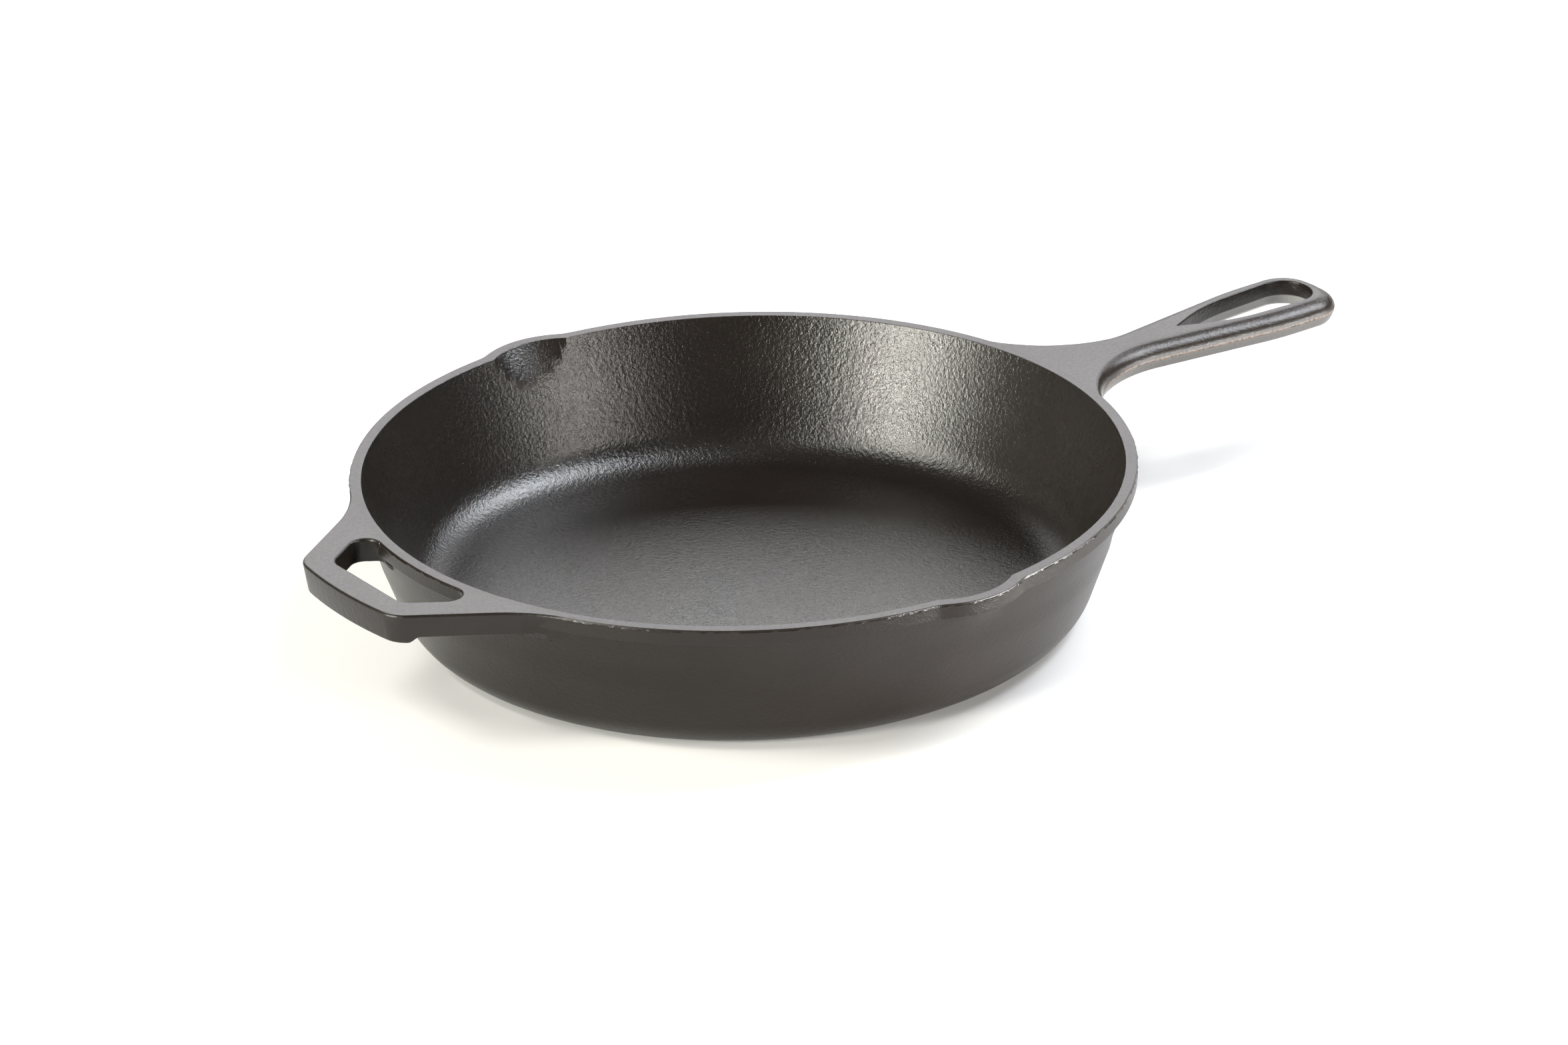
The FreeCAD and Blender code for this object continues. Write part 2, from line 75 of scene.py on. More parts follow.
# Pan section
BAND_RADIUS = LIP_RADIUS - 0.3 * MM
PLATE_START = BAND_RADIUS - 1.6 * MM
SLOPE = (WALL_RADIUS - HEEL_RADIUS) / (BAND_FOOT - HEEL_TOP)
BASE_CORNER = HEEL_RADIUS - SLOPE * HEEL_TOP
HEEL_ROUNDING = 14.5 * MM
FLOOR_ROUNDING = 16 * MM

# Pour spouts: the horizontal sections are round, and their centres move inwards with depth
SCOOP_RADIUS = 24.8 * MM
SCOOP_REACH = SPOUT_REACH - 4.4 * MM
SPOUT_LEAN = 0.69
SPOUT_WALL = 4.1 * MM
SPOUT_SECTOR = math.radians(12)

# Depth of the mould's parting line below the rim's top, along the long handle
PARTING_DEPTH = 4.9 * MM


def rounded(corners, steps=10):
    """Polyline through (x, y, radius) corners with each corner replaced by a tangent arc."""
    points = []
    count = len(corners)
    for number, (x, y, radius) in enumerate(corners):
        corner = np.array([x, y])
        if radius == 0 or number in (0, count - 1):
            points.append(corner)
            continue
        back = np.array(corners[number - 1][:2]) - corner
        ahead = np.array(corners[number + 1][:2]) - corner
        back /= np.linalg.norm(back)
        ahead /= np.linalg.norm(ahead)
        half = math.acos(np.clip(back @ ahead, -1, 1)) / 2
        centre = corner + (back + ahead) / np.linalg.norm(back + ahead) * radius / math.sin(half)
        first = corner + back * radius / math.tan(half) - centre
        last = corner + ahead * radius / math.tan(half) - centre
        turn = math.pi - 2 * half
        for step in range(steps + 1):
            share = step / steps
            points.append(centre + (first * math.sin(turn * (1 - share)) + last * math.sin(turn * share))
                          / math.sin(turn))
    return np.array(points)


def subdivided(points, longest):
    """The same polyline with no straight stretch longer than longest(point)."""
    result = [points[0]]
    for first, last in zip(points[:-1], points[1:]):
        pieces = max(1, math.ceil(np.linalg.norm(last - first) / longest((first + last) / 2)))
        for piece in range(1, pieces + 1):
            result.append(first + (last - first) * piece / pieces)
    return np.array(result)


def pan_section():
    """Half-section of the pan, from the middle of the underside round the rim to the floor's middle."""
    def outer(height):
        return BASE_CORNER + SLOPE * height

    inner_corner = RIM_RADIUS - SLOPE * (RIM_TOP - FLOOR_TOP)
    band_bottom = BAND_FOOT + 0.9 * MM
    corners = [
        (4 * MM, 0, 0),
        (BASE_CORNER, 0, HEEL_ROUNDING),
        (outer(BAND_FOOT), BAND_FOOT, 1.0 * MM),
        (BAND_RADIUS, band_bottom, 0.5 * MM),
        (BAND_RADIUS, RIM_TOP - 1.35 * MM, 0.2 * MM),
        (LIP_RADIUS, RIM_TOP - 0.85 * MM, 0.1 * MM),
        (BAND_RADIUS - 0.02 * MM, RIM_TOP - 0.4 * MM, 0.1 * MM),
        (BAND_RADIUS - 0.12 * MM, RIM_TOP, 0.3 * MM),
        (RIM_RADIUS, RIM_TOP, 0.35 * MM),
        (inner_corner, FLOOR_TOP, FLOOR_ROUNDING),
        (4 * MM, FLOOR_TOP, 0),
    ]

    def longest(point):
        return 0.45 * MM if point[1] > RIM_TOP - 17 * MM else 5 * MM

    return subdivided(rounded(corners), longest)


def pan_angles():
    """Angles round the pan, closer together at the spouts."""
    plain = np.radians(np.arange(0, 360, 0.25))
    fine = np.radians(np.arange(-11, 11.001, 0.1))
    away = np.abs(np.abs((plain + math.pi) % (2 * math.pi) - math.pi) - math.pi / 2) > math.radians(11.05)
    return np.sort(np.concatenate([plain[away], math.pi / 2 + fine, 3 * math.pi / 2 + fine]))


def leaning_round(angle, reach, radius):
    """Distance from the Z axis to a circle of a given radius whose outermost point is at reach."""
    centre = reach - radius
    under = radius ** 2 - (centre * np.sin(angle)) ** 2
    distance = centre * np.cos(angle) + np.sqrt(np.maximum(under, 0))
    return np.where((under > 0) & (np.cos(angle) > 0), distance, 0)


def soft_max(a, b, softness):
    return (a + b + np.sqrt((a - b) ** 2 + softness ** 2) - softness) / 2


def pan_grid(section, angles):
    """Points of the pan's whole skin, indexed by section row and by angle."""
    from_spout = np.arctan2(np.cos(angles), np.abs(np.sin(angles)))
    lip = ragged(angles)
    grid = np.zeros((len(section), len(angles), 3))
    off_rim_middle = np.abs(section[:, 0] - (RIM_RADIUS + 2 * MM))
    top_row = int(np.argmin(off_rim_middle + (section[:, 1] < RIM_TOP - 1e-6)))
    nose = leaning_round(from_spout, SPOUT_REACH, SCOOP_RADIUS + SPOUT_WALL)
    band = soft_max(BAND_RADIUS, nose, 0.9 * MM)
    scoop_at_rim = np.maximum(RIM_RADIUS, leaning_round(from_spout, SCOOP_REACH, SCOOP_RADIUS))
    for row, (radius, height) in enumerate(section):
        depth = RIM_TOP - height
        scoop = leaning_round(from_spout, SCOOP_REACH - SPOUT_LEAN * depth, SCOOP_RADIUS)
        bulge_reach = SCOOP_REACH + SPOUT_WALL - SPOUT_LEAN * max(depth, RIM_TOP - BAND_FOOT)
        bulge = leaning_round(from_spout, bulge_reach, SCOOP_RADIUS + SPOUT_WALL)
        if row > top_row:
            wall = RIM_RADIUS - SLOPE * depth
            distance = radius + soft_max(wall, scoop, 0.04 * MM) - wall
        elif height < BAND_FOOT:
            near_spout = depth < 20 * MM
            distance = soft_max(radius, bulge, 1.0 * MM) if near_spout else np.full(len(angles), radius)
        elif radius > BAND_RADIUS:
            distance = band + (radius - BAND_RADIUS) * lip
        elif height < RIM_TOP - 1.3 * MM:
            foot = soft_max(WALL_RADIUS, bulge, 1.0 * MM)
            share = (radius - WALL_RADIUS) / (BAND_RADIUS - WALL_RADIUS)
            distance = foot + (band - foot) * share
        else:
            share = (radius - RIM_RADIUS) / (BAND_RADIUS - RIM_RADIUS)
            distance = scoop_at_rim + (band - scoop_at_rim) * share
        grid[row, :, 0] = distance * np.cos(angles)
        grid[row, :, 1] = distance * np.sin(angles)
        grid[row, :, 2] = height
    return grid


def ragged(angles):
    """Uneven height, 0 to 1, of the casting lip that runs round the rim's outer edge."""
    rates_and_phases = ((23, 0.4), (61, 2.2), (113, 4.1), (197, 1.3))
    waves = sum(np.sin(angles * rate + phase) for rate, phase in rates_and_phases)
    return np.clip(0.55 + 0.28 * waves, 0.05, 1)


def grid_normals(grid):
    """Outward normals of a skin grid that closes on itself from the last angle to the first."""
    along = np.gradient(grid, axis=0)
    around = np.roll(grid, -1, axis=1) - np.roll(grid, 1, axis=1)
    normals = np.cross(around, along)
    return normals / np.maximum(np.linalg.norm(normals, axis=2, keepdims=True), 1e-12)


def make_piece(name, vertices, faces, face_materials=None):
    mesh = bpy.data.meshes.new(name)
    mesh.from_pydata([tuple(vertex) for vertex in vertices], [], [tuple(face) for face in faces])
    if face_materials is not None:
        mesh.polygons.foreach_set("material_index", face_materials)
    piece = bpy.data.objects.new(name, mesh)
    bpy.context.scene.collection.objects.link(piece)
    return piece


def pan_piece(name, grid, normals, outer_rows, inner_rows, columns=None):
    """Closed solid cut from the skin: some outer rows, some inner rows, and the seams between them."""
    rows = list(outer_rows) + list(inner_rows)
    whole = columns is None
    columns = list(range(grid.shape[1])) if whole else list(columns)
    skin = grid[np.ix_(rows, columns)]
    skin_normals = normals[np.ix_(rows, columns)]
    row_count, column_count = len(rows), len(columns)
    number = np.arange(row_count * column_count).reshape(row_count, column_count)
    disc = rows[0] == 0
    faces, smooth, inner = [], [], []
    pairs = [(k, k + 1) for k in range(row_count - 1)] + ([] if disc else [(row_count - 1, 0)])
    last = column_count if whole else column_count - 1
    for low, high in pairs:
        seam = abs(rows[high] - rows[low]) != 1
        inside = rows[low] >= inner_rows[0] and not seam
        for column in range(last):
            following = (column + 1) % column_count
            faces.append((number[low, column], number[low, following],
                          number[high, following], number[high, column]))
            smooth.append(not seam)
            inner.append(inside)
    caps = []
    if disc:
        caps = [number[0, ::-1].tolist(), number[-1, :].tolist()]
    elif not whole:
        caps = [number[:, 0].tolist()[::-1], number[:, -1].tolist()]
    for cap in caps:
        faces.append(cap)
        smooth.append(False)
        inner.append(disc and cap is caps[-1])
    piece = make_piece(name, skin.reshape(-1, 3), faces, np.array(inner, dtype=np.int32))
    flat_normals = skin_normals.reshape(-1, 3)
    loops = []
    for polygon, is_smooth in zip(piece.data.polygons, smooth):
        polygon.use_smooth = is_smooth
        if is_smooth:
            loops.extend(flat_normals[index] for index in polygon.vertices)
        else:
            loops.extend([np.array(polygon.normal)] * len(polygon.vertices))
    piece.data.normals_split_custom_set([tuple(normal) for normal in loops])
    return piece


def build_pan():
    """The pan's regions, each a closed solid that shares its border points with its neighbours."""
    section = pan_section()
    angles = pan_angles()
    grid = pan_grid(section, angles)
    normals = grid_normals(grid)
    rim_row = int(np.argmax(section[:, 1] - section[:, 0] * 1e-3))
    last = len(section) - 1

    def border(axis, value):
        """Outer and inner section rows nearest to a radius (axis 0) or a height (axis 1)."""
        away = np.abs(section[:, axis] - value)
        return int(np.argmin(away[:rim_row])), rim_row + int(np.argmin(away[rim_row:]))

    disc = border(0, DISC_RADIUS)
    heel = border(1, HEEL_TOP)
    foot = border(1, BAND_FOOT)
    from_left = np.abs(angles - math.pi / 2)
    from_right = np.abs(angles - 3 * math.pi / 2)
    left = np.where(from_left <= SPOUT_SECTOR)[0]
    right = np.where(from_right <= SPOUT_SECTOR)[0]
    by_helper_handle = np.arange(left[-1], right[0] + 1)
    by_long_handle = np.concatenate([np.arange(right[-1], len(angles)), np.arange(0, left[0] + 1)])

    def rows(low, high):
        return range(low[0], high[0] + 1), range(high[1], low[1] + 1)

    centre = (0, last)
    cut = pan_piece("cooking_floor_iron", grid, normals, *rows(centre, disc))
    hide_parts("cooking_floor")
    pieces = [cut]
    cut = pan_piece("heel_ring_iron", grid, normals, *rows(disc, heel))
    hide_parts("heel_ring")
    pieces.append(cut)
    top = range(foot[0], rim_row + 1), range(rim_row + 1, foot[1] + 1)
    for side, columns in (("back", by_helper_handle), ("front", by_long_handle)):
        cut = pan_piece("side_wall_" + side, grid, normals, *rows(heel, foot), columns)
        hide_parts("side_wall")
        pieces.append(cut)
        cut = pan_piece("rim_band_" + side, grid, normals, *top, columns)
        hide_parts("rim_band")
        pieces.append(cut)
    spout = range(heel[0], rim_row + 1), range(rim_row + 1, heel[1] + 1)
    for side, columns in (("left", left), ("right", right)):
        cut = pan_piece(side + "_pour_spout_iron", grid, normals, *spout, columns)
        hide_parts(side + "_pour_spout")
        pieces.append(cut)
    return pieces


def nearest_segment(points, starts, ends):
    """Distance from each plan point to the nearest of the given segments, and that segment's left side."""
    best = np.full(len(points), 1.0)
    left = np.zeros_like(points)
    for start, end in zip(starts, ends):
        along = end - start
        share = np.clip(((points - start) @ along) / (along @ along), 0, 1)
        gap = points - start - share[:, None] * along
        distance = np.hypot(gap[:, 0], gap[:, 1])
        nearer = distance < best
        best[nearer] = distance[nearer]
        left[nearer] = np.array([-along[1], along[0]]) / np.linalg.norm(along)
    return best, left


def inside(points, loop):
    """Whether each plan point lies inside a closed loop."""
    result = np.zeros(len(points), bool)
    for (x0, y0), (x1, y1) in zip(loop, np.roll(loop, -1, axis=0)):
        crosses = (y0 > points[:, 1]) != (y1 > points[:, 1])
        with np.errstate(divide="ignore", invalid="ignore"):
            reach = x0 + (points[:, 1] - y0) * (x1 - x0) / (y1 - y0)
        result ^= crosses & (points[:, 0] < reach)
    return result


class Plan:
    """Plan of a handle: a closed outline and one hole, each with its free and its buried stretches."""

    # distances in millimetres from an edge at which the mesh has rows of points alongside it
    EDGE_STEPS = [0.06, 0.18, 0.36, 0.62, 1.0, 1.5, 2.2, 3.1, 4.2, 5.6]

    def __init__(self, outline, outline_free, hole, hole_free):
        self.outline, self.hole = outline, hole
        self.outline_free, self.hole_free = outline_free, hole_free

    def outer_distance(self, points):
        return self.loop_distance(points, self.outline, self.outline_free)

    def hole_distance(self, points):
        return self.loop_distance(points, self.hole, self.hole_free)

    def inward(self, points):
        """Direction at each point that leads square away from the nearest part of the outline."""
        free = self.outline_free
        return nearest_segment(points, self.outline[free], np.roll(self.outline, -1, axis=0)[free])[1]

    @staticmethod
    def loop_distance(points, loop, free):
        return nearest_segment(points, loop[free], np.roll(loop, -1, axis=0)[free])[0]

    def within(self, points):
        return inside(points, self.outline) & ~inside(points, self.hole)

    def triangulate(self):
        """Points and triangles that fill the plan, with rows of points close to its edges."""
        loops = [self.outline, self.hole]

        def from_loops(points):
            """Distance from each point to the nearest side of the outline or of the hole."""
            whole = [np.ones(len(loop), bool) for loop in loops]
            return np.minimum(*[self.loop_distance(points, loop, use) for loop, use in zip(loops, whole)])

        rows = []
        for loop in loops:
            ahead = np.roll(loop, -1, axis=0) - np.roll(loop, 1, axis=0)
            across = np.stack([-ahead[:, 1], ahead[:, 0]], axis=1)
            across /= np.linalg.norm(across, axis=1, keepdims=True)
            for step in self.EDGE_STEPS:
                row = np.concatenate([loop + across * step * MM, loop - across * step * MM])
                rows.append(row[from_loops(row) > step * MM * 0.93])
        spacing = 1.6 * MM
        (low_x, low_y), (high_x, high_y) = self.outline.min(0), self.outline.max(0)
        columns = np.arange(low_x, high_x, spacing)
        across_x, across_y = np.meshgrid(columns, np.arange(low_y, high_y, spacing))
        field = np.stack([across_x.ravel(), across_y.ravel()], axis=1)
        rows.append(field[from_loops(field) > (self.EDGE_STEPS[-1] + 0.9) * MM])
        extra = np.concatenate(rows)
        extra = extra[self.within(extra)]
        points = np.concatenate(loops + [extra])
        edges, start = [], 0
        for loop in loops:
            edges += [(start + k, start + (k + 1) % len(loop)) for k in range(len(loop))]
            start += len(loop)
        scaled = [Vector(point * 1000) for point in points]
        found, _, triangles, *_ = delaunay_2d_cdt(scaled, edges, [], 0, 1e-4)
        points = np.array(found) / 1000
        triangles = np.array(triangles)
        keep = self.within(points[triangles].mean(axis=1))
        return points, triangles[keep]


def solid_plate(name, plan, top, bottom):
    """Closed solid over a plan; top gives heights, and bottom gives moved plan points and heights."""
    points, triangles = plan.triangulate()
    count = len(points)
    upper = np.column_stack([points, top(points)])
    lower_plan, lower_height = bottom(points)
    lower = np.column_stack([lower_plan, lower_height])
    faces = [tuple(t) for t in triangles]
    faces += [tuple(count + k for k in t[::-1]) for t in triangles]
    used = {(t[k], t[(k + 1) % 3]) for t in triangles for k in range(3)}
    border = [edge for edge in used if (edge[1], edge[0]) not in used]
    faces += [(b, a, count + a, count + b) for a, b in sorted(border)]
    piece = make_piece(name, np.concatenate([upper, lower]), faces)
    piece.data.shade_smooth()
    piece.data.set_sharp_from_angle(angle=math.radians(50))
    return piece


def edge_drop(distance, radius):
    """How far a rounded edge falls below its face at a distance from the edge."""
    left = radius - np.minimum(distance, radius)
    return radius - np.sqrt(radius ** 2 - left ** 2)


def mirrored(points):
    """The given points, then the same points mirrored across the X axis in reverse order."""
    other = points[::-1] * np.array([1, -1])
    return np.concatenate([points, other[1:] if abs(points[-1, 1]) < 1e-9 else other])


def clipped_to_pan(points, radius):
    """Keep the stretch outside a circle about the axis, and close it along that circle."""
    away = np.hypot(points[:, 0], points[:, 1]) > radius
    kept = points[away]
    first, last = math.atan2(kept[-1, 1], kept[-1, 0]), math.atan2(kept[0, 1], kept[0, 0])
    turn = (last - first + math.pi) % (2 * math.pi) - math.pi
    angles = first + turn * np.linspace(0, 1, max(8, int(abs(turn) * radius / (0.8 * MM))))
    arc = radius * np.stack([np.cos(angles), np.sin(angles)], axis=1)
    free = np.concatenate([np.ones(len(kept), bool), np.zeros(len(arc), bool)])
    free[len(kept) - 1] = False
    return np.concatenate([kept, arc]), free


def under_pan(points, low):
    """Draw the underside's inner end in under the rim, to the wall, and fillet it there."""
    draw_start = BAND_RADIUS + 2 * MM
    buried_end = WALL_RADIUS - 3.2 * MM
    wall_there = WALL_RADIUS - 1.2 * MM
    fillet = 3 * MM
    distance = np.hypot(points[:, 0], points[:, 1])
    share = np.clip((draw_start - distance) / (draw_start - PLATE_START), 0, 1)
    moved = distance - share * (PLATE_START - buried_end)
    from_wall = np.maximum(moved - wall_there, 0)
    return points * (moved / distance)[:, None], low - edge_drop(from_wall, fillet)


def long_handle_plan():
    """Flared root, waisted neck and round-ended grip with its teardrop hole."""
    half = GRIP_HALF_WIDTH
    corners = [
        (HANDLE_TIP - 124.1 * MM, 39.1 * MM, 0),
        (HANDLE_TIP - 117.3 * MM, 21.3 * MM, 38 * MM),
        (HANDLE_TIP - 91.8 * MM, 8.8 * MM, 40 * MM),
        (HANDLE_TIP - 30.7 * MM, half, 110 * MM),
        (HANDLE_TIP - 1.0 * MM, half, 13.5 * MM),
        (HANDLE_TIP, 0, 0),
    ]
    side = subdivided(rounded(corners, 24), lambda point: 0.8 * MM)
    outline, free = clipped_to_pan(mirrored(side), PLATE_START)
    teardrop = [
        (HANDLE_TIP - 64.1 * MM, 0, 0),
        (HANDLE_TIP - 46.0 * MM, 8.1 * MM, 60 * MM),
        (HANDLE_TIP - 6.7 * MM, 10.5 * MM, 9.5 * MM),
        (HANDLE_TIP - 6.7 * MM, 0, 0),
    ]
    hole = mirrored(subdivided(rounded(teardrop, 20), lambda point: 0.6 * MM))[:-1]
    return Plan(outline[::-1], np.roll(free[::-1], -1), hole[::-1], np.ones(len(hole), bool))


def build_long_handle():
    plan = long_handle_plan()
    parting = RIM_TOP - PARTING_DEPTH
    hole_rounding = 0.5 * MM
    proud = 0.01 * MM

    def crown_width(x):
        """Distance from the side over which the top rises to its full height."""
        share = np.clip((x - RIM_RADIUS - 1 * MM) / (34 * MM), 0, 1)
        return (2.2 + 4.8 * share ** 1.2) * MM

    def top(points):
        share = np.clip(plan.outer_distance(points) / crown_width(points[:, 0]), 0, 1)
        rise = np.sqrt(1 - (1 - share) ** 2)
        high = parting + PARTING_DEPTH * rise + proud
        return high - edge_drop(plan.hole_distance(points), hole_rounding)

    def bottom(points):
        share = np.clip(plan.outer_distance(points) / (1.6 * MM), 0, 1)
        low = HANDLE_BOTTOM + (parting - HANDLE_BOTTOM) * (1 - share) ** 1.5
        low += edge_drop(plan.hole_distance(points), hole_rounding)
        return under_pan(points, low)

    piece = solid_plate("long_handle_iron", plan, top, bottom)
    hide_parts("long_handle", "handle_root")
    return piece


def finger_hole_side():
    """Half of the finger hole: the bar, one arm, and the round end where the arm meets the rim."""
    corner = np.array([HELPER_TIP - 10.6 * MM, 19.9 * MM])
    corner_radius, radius = 6.0 * MM, 5.0 * MM
    arm = np.array([-22.2, 15.5]) / math.hypot(22.2, 15.5)
    across = np.array([-arm[1], arm[0]])
    offset = corner + across * radius
    middle = offset @ arm
    travel = -middle - math.sqrt(middle ** 2 - offset @ offset + (BAND_RADIUS + radius) ** 2)
    centre = offset + arm * travel
    first = math.atan2(-across[1], -across[0])
    last = math.atan2(-centre[1], -centre[0]) + 2 * math.pi
    turn = np.linspace(first, last, 28)
    end = centre + radius * np.stack([np.cos(turn), np.sin(turn)], axis=1)
    straight = rounded([(corner[0], 0, 0), (*corner, corner_radius), (*end[0], 0)], 16)
    return np.concatenate([subdivided(straight, lambda point: 0.6 * MM), end[1:]])


def helper_plan():
    """Two straight arms and a curved bar round a finger hole whose inner side is the rim itself."""
    bar = [(math.sqrt(HELPER_TIP ** 2 - y ** 2), y, 0) for y in np.arange(0, 21, 4) * MM]
    corners = bar + [
        (HELPER_TIP - 2.3 * MM, 27.0 * MM, 11.0 * MM),
        (HELPER_TIP - 38.05 * MM, 51.9 * MM, 54 * MM),
        (HELPER_TIP - 45.6 * MM, 65.0 * MM, 0),
    ]
    side = subdivided(rounded(corners, 24), lambda point: 0.8 * MM) * np.array([-1, 1])
    outline, free = clipped_to_pan(mirrored(side[::-1]), PLATE_START)
    hole_side = finger_hole_side() * np.array([-1, 1])
    hole, hole_free = clipped_to_pan(mirrored(hole_side[::-1]), PLATE_START)
    return Plan(outline, free, hole, hole_free)


def build_helper_handle():
    plan = helper_plan()
    rounding = 0.8 * MM
    bar_inside, bar_edge = HELPER_TIP - 9.4 * MM, HELPER_TIP - 6.4 * MM
    arm_bottom = RIM_TOP - 8.2 * MM
    draft = math.tan(math.radians(7))

    def nearest_edge(points):
        return np.minimum(plan.outer_distance(points), plan.hole_distance(points))

    def top(points):
        return RIM_TOP - edge_drop(nearest_edge(points), rounding) + 0.01 * MM

    def bottom(points):
        share = np.clip((-points[:, 0] - bar_inside) / (bar_edge - bar_inside), 0, 1)
        low = arm_bottom + (HELPER_BOTTOM - arm_bottom) * share ** 2 * (3 - 2 * share)
        near = np.clip((4.5 * MM - plan.outer_distance(points)) / (3 * MM), 0, 1)
        drawn_in = points + plan.inward(points) * ((RIM_TOP - low) * draft * near)[:, None]
        return under_pan(drawn_in, low + edge_drop(nearest_edge(points), rounding))

    piece = solid_plate("helper_handle_iron", plan, top, bottom)
    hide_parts("helper_handle")
    return piece


class Nodes:
    """Short way to add shader nodes to a material and join them."""

    def __init__(self, name):
        self.material = bpy.data.materials.new(name)
        self.material.use_nodes = True
        self.tree = self.material.node_tree
        self.shader = self.tree.nodes["Principled BSDF"]

    def add(self, kind, inputs=None, **settings):
        node = self.tree.nodes.new(kind)
        for setting, value in settings.items():
            setattr(node, setting, value)
        for socket, value in (inputs or {}).items():
            self.feed(node.inputs[socket], value)
        return node

    def feed(self, socket, value):
        if isinstance(value, bpy.types.NodeSocket):
            self.tree.links.new(value, socket)
        else:
            socket.default_value = value

    def math(self, operation, first, second=0.0):
        return self.add("ShaderNodeMath", {0: first, 1: second}, operation=operation).outputs[0]

    def noise(self, place, scale, detail=3.0, roughness=0.55):
        return self.add("ShaderNodeTexNoise", {"Vector": place, "Scale": scale, "Detail": detail,
                                               "Roughness": roughness}).outputs["Fac"]

    def ramp(self, value, low, high, start=0.0, end=1.0):
        """Smooth step of a value between two limits."""
        return self.add("ShaderNodeMapRange", {"Value": value, "From Min": low, "From Max": high,
                                               "To Min": start, "To Max": end},
                        interpolation_type="SMOOTHSTEP").outputs[0]

    def mix(self, share, first, second):
        node = self.add("ShaderNodeMix", data_type="RGBA")
        for socket, value in ((0, share), (6, first), (7, second)):
            self.feed(node.inputs[socket], value)
        return node.outputs[2]


def seam_marks_and_reflection(nodes, place, specks, colour, parting):
    """Brownish scuffed mould seam along the long handle's outer sides, and painted reflection below it:
    paler iron colour under the parting line, palest on the inner half of the rails and the hole's wall.
    """
    axes = nodes.add("ShaderNodeSeparateXYZ", {0: place})
    x, y, z = (axes.outputs[letter] for letter in "XYZ")
    clear_of_pan = nodes.ramp(x, RIM_RADIUS + 2 * MM, RIM_RADIUS + 16 * MM)
    past_hole = nodes.ramp(x, HANDLE_TIP - 5 * MM, HANDLE_TIP - 3 * MM)
    middle_of_rail = nodes.ramp(x, HANDLE_TIP - 64 * MM, HANDLE_TIP - 7 * MM, 6.6 * MM, 13.5 * MM)
    off_middle = nodes.math("SUBTRACT", nodes.math("ABSOLUTE", y), middle_of_rail)
    beside_hole = nodes.ramp(off_middle, 0, 0.2 * MM)
    outer_side = nodes.math("MAXIMUM", past_hole, beside_hole)
    # Painted reflection: below the parting line the iron is painted paler, palest on the inner half of the
    # rails and the hole's wall, in place of light reflected there.
    painted_reflection = nodes.mix(outer_side, (0.200, 0.195, 0.190, 1), (0.050, 0.048, 0.046, 1))
    below = nodes.ramp(z, parting - 0.1 * MM, parting - 0.6 * MM)
    colour = nodes.mix(nodes.math("MULTIPLY", clear_of_pan, below), colour, painted_reflection)
    flank = nodes.math("MULTIPLY", clear_of_pan, outer_side)
    off_seam = nodes.math("ABSOLUTE", nodes.math("SUBTRACT", z, parting))
    line = nodes.math("MULTIPLY", flank, nodes.ramp(off_seam, 0.8 * MM, 0.2 * MM))
    seam = nodes.math("MULTIPLY", line, nodes.ramp(specks, 0.3, 0.6))
    scuffed = nodes.math("MULTIPLY", flank, nodes.ramp(off_seam, 2.4 * MM, 0.6 * MM))
    return nodes.mix(seam, colour, (0.080, 0.060, 0.048, 1)), nodes.math("MULTIPLY", scuffed, 0.27)


def iron_material(name, pebble, roughness, index, parting=None):
    """Seasoned cast iron: sand-cast grain, patchy oil film, and paler upper faces at the rim, partly wear
    and partly painted sheen.

    A parting height adds the marks of the mould's seam there, and painted reflection below it.
    """
    nodes = Nodes(name)
    place = nodes.add("ShaderNodeTexCoord").outputs["Object"]
    geometry = nodes.add("ShaderNodeNewGeometry")
    normal_z = nodes.add("ShaderNodeSeparateXYZ", {0: geometry.outputs["Normal"]}).outputs["Z"]
    height = nodes.add("ShaderNodeSeparateXYZ", {0: place}).outputs["Z"]
    # Painted sheen and wear: flat upward faces at the rim top get a paler colour, partly worn iron and
    # partly standing in for the bright reflection they catch.
    level = nodes.ramp(normal_z, 0.965, 0.998)
    high = nodes.ramp(height, RIM_TOP - 2.0 * MM, RIM_TOP - 0.2 * MM)
    wear_and_sheen = nodes.math("MULTIPLY", level, high)
    patches = nodes.noise(place, 28, 4)
    specks = nodes.noise(place, 900, 2)
    dark = nodes.mix(patches, (0.0058, 0.0042, 0.0033, 1), (0.0110, 0.0083, 0.0066, 1))
    pale = nodes.mix(specks, (0.045, 0.041, 0.043, 1), (0.115, 0.108, 0.112, 1))
    colour = nodes.mix(wear_and_sheen, dark, pale)
    film = nodes.ramp(patches, 0.25, 0.75, roughness - 0.02, roughness + 0.025)
    gloss = nodes.math("ADD", film, nodes.math("MULTIPLY", wear_and_sheen, 0.45 - roughness))
    if parting is not None:
        colour, scuffed = seam_marks_and_reflection(nodes, place, specks, colour, parting)
        gloss = nodes.math("ADD", gloss, scuffed)
    nodes.feed(nodes.shader.inputs["Base Color"], colour)
    nodes.feed(nodes.shader.inputs["Roughness"], gloss)
    nodes.shader.inputs["IOR"].default_value = index
    pebbles = nodes.noise(place, 760, 3, 0.6)
    grain = nodes.noise(place, 2300, 2, 0.6)
    strength = nodes.math("SUBTRACT", 1.0, nodes.math("MULTIPLY", wear_and_sheen, 0.5))
    coarse = nodes.add("ShaderNodeBump", {"Strength": strength, "Distance": pebble, "Height": pebbles})
    fine = nodes.add("ShaderNodeBump", {"Strength": strength, "Distance": 0.07 * MM, "Height": grain,
                                        "Normal": coarse.outputs[0]})
    nodes.feed(nodes.shader.inputs["Normal"], fine.outputs[0])
    return nodes.material


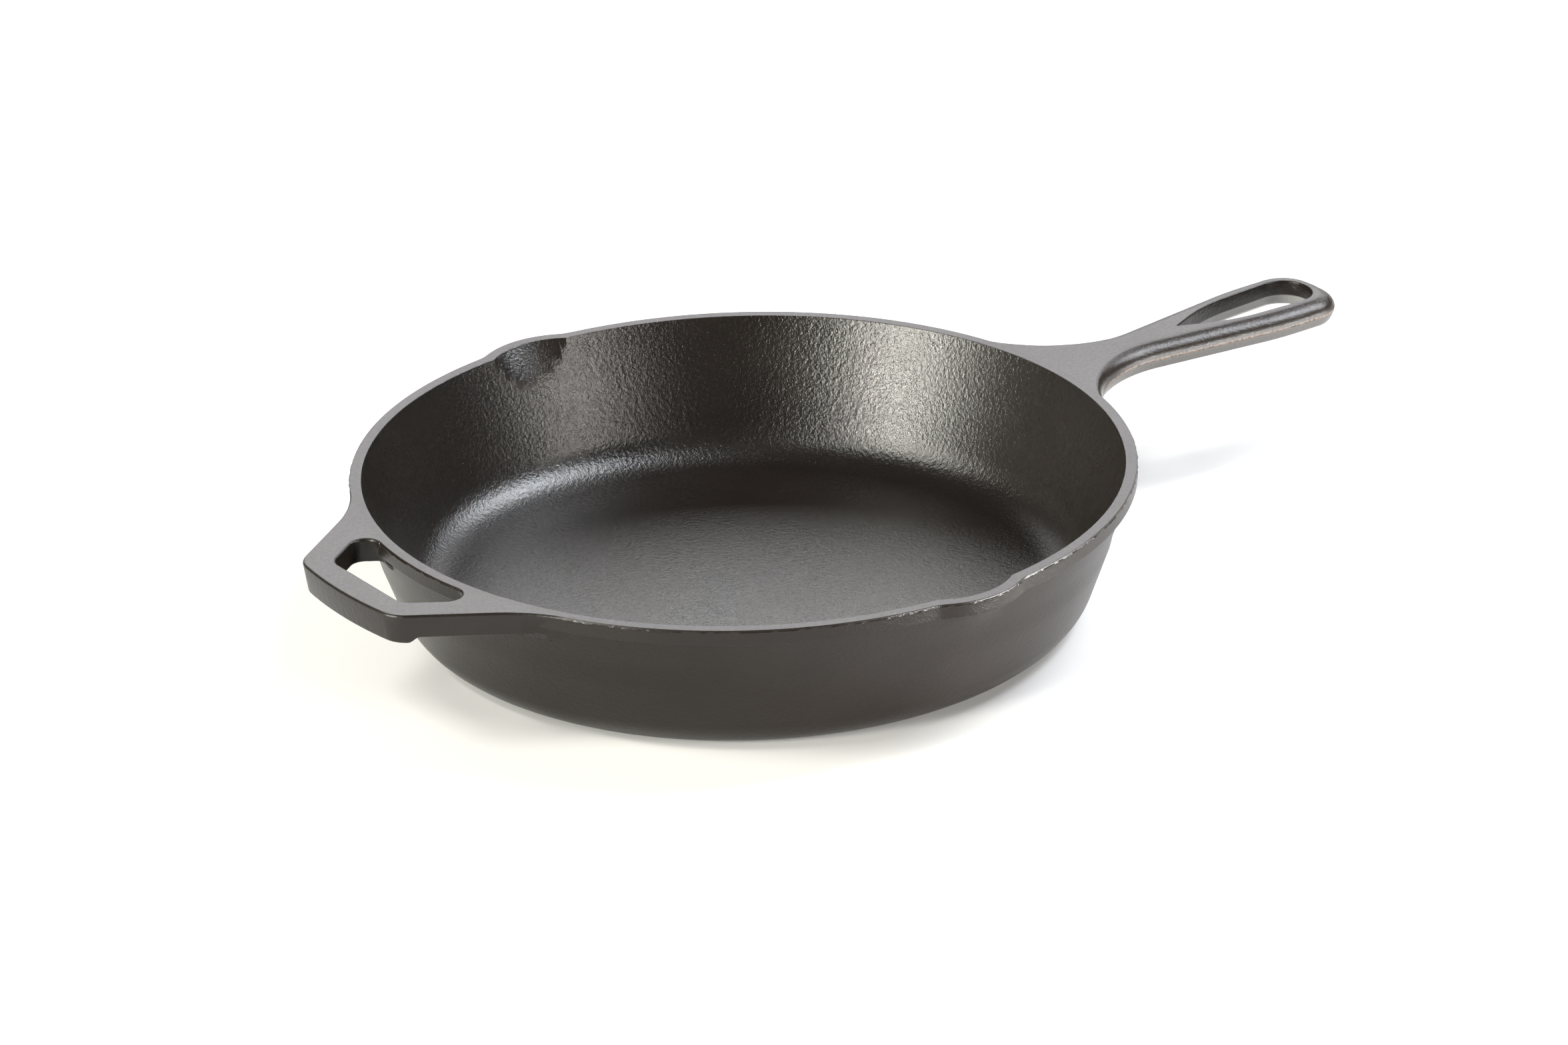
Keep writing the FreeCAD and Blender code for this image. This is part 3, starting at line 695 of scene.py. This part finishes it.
def dress(pieces, handles):
    """Give every piece its iron and its body; the second material is for cooking faces."""
    outside = iron_material("outside_iron", 0.10 * MM, 0.31, 1.36)
    cooking_side = iron_material("cooking_side_iron", 0.26 * MM, 0.27, 1.55)
    helper_iron = iron_material("helper_handle_iron", 0.12 * MM, 0.33, 1.38)
    handle_iron = iron_material("long_handle_iron", 0.16 * MM, 0.26, 1.37, RIM_TOP - PARTING_DEPTH)
    own_iron = {"long_handle_iron": handle_iron, "helper_handle_iron": helper_iron}
    for piece in pieces + handles:
        piece.data.materials.append(own_iron.get(piece.name, outside))
        piece.data.materials.append(cooking_side)
        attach(piece, "root")
        "rim_iron" if piece in handles or "rim_band" in piece.name else "seasoned_iron"


def direction(azimuth, elevation):
    around, up = math.radians(azimuth), math.radians(elevation)
    return Vector((math.cos(up) * math.cos(around), math.cos(up) * math.sin(around), math.sin(up)))


def softbox(name, azimuth, elevation, distance, width, height, power, colour):
    """Area light that faces the pan's rim from a stated direction."""
    light = bpy.data.lights.new(name, "AREA")
    light.shape = "RECTANGLE"
    light.size, light.size_y = width, height
    light.energy = power
    light.color = colour
    lamp = bpy.data.objects.new(name, light)
    towards = direction(azimuth, elevation)
    lamp.location = towards * distance + Vector((0, 0, RIM_TOP))
    lamp.rotation_euler = towards.to_track_quat("Z", "Y").to_euler()
    bpy.context.scene.collection.objects.link(lamp)


def build_studio():
    bpy.ops.mesh.primitive_plane_add(size=12, location=(0, 0, -0.1 * MM))
    floor = bpy.context.object
    floor.name = "studio_floor"
    nodes = Nodes("pale_floor")
    nodes.shader.inputs["Base Color"].default_value = (0.72, 0.72, 0.72, 1)
    nodes.shader.inputs["Roughness"].default_value = 1.0
    nodes.shader.inputs["Specular IOR Level"].default_value = 0.0
    floor.data.materials.append(nodes.material)
    world = bpy.data.worlds.new("studio")
    world.use_nodes = True
    world.node_tree.nodes["Background"].inputs["Color"].default_value = (1, 1, 1, 1)
    world.node_tree.nodes["Background"].inputs["Strength"].default_value = 0.08
    bpy.context.scene.world = world
    softbox("key", -10, 48, 1.6, 0.6, 0.9, 36, (0.92, 0.955, 1.0))
    softbox("window", -178, 14, 1.8, 0.45, 0.6, 52, (1.0, 0.98, 0.89))
    softbox("upper_window", 166, 43, 1.8, 0.5, 0.8, 30, (1.0, 0.98, 0.89))
    softbox("front", -68, 13, 1.8, 0.4, 0.5, 18, (1.0, 0.95, 0.89))
    softbox("back", 55, 24, 2.2, 2.4, 1.0, 27, (1.0, 1.0, 1.0))
    softbox("low_right", -56, -1.6, 1.0, 0.9, 0.04, 38, (1.0, 0.99, 0.97))
    bpy.context.scene.view_settings.view_transform = "Standard"


def build_camera():
    """Camera that looks down into the pan from the helper handle's side."""
    data = bpy.data.cameras.new("camera")
    data.sensor_width = 36
    data.lens = 153.44
    data.clip_start, data.clip_end = 0.05, 50
    camera = bpy.data.objects.new("camera", data)
    place = direction(-125.164, 23.845) * 2.20350 + Vector((0, 0, RIM_TOP))
    target = Vector((-17.8 * MM, -47.1 * MM, RIM_TOP))
    turn = (place - target).to_track_quat("Z", "Y").to_matrix()
    roll = Matrix.Rotation(math.radians(-1.517), 3, "Z")
    camera.matrix_world = Matrix.Translation(place) @ (turn @ roll).to_4x4()
    bpy.context.scene.collection.objects.link(camera)
    bpy.context.scene.camera = camera


pan = build_pan()
handles = [build_long_handle(), build_helper_handle()]
dress(pan, handles)
build_studio()
build_camera()
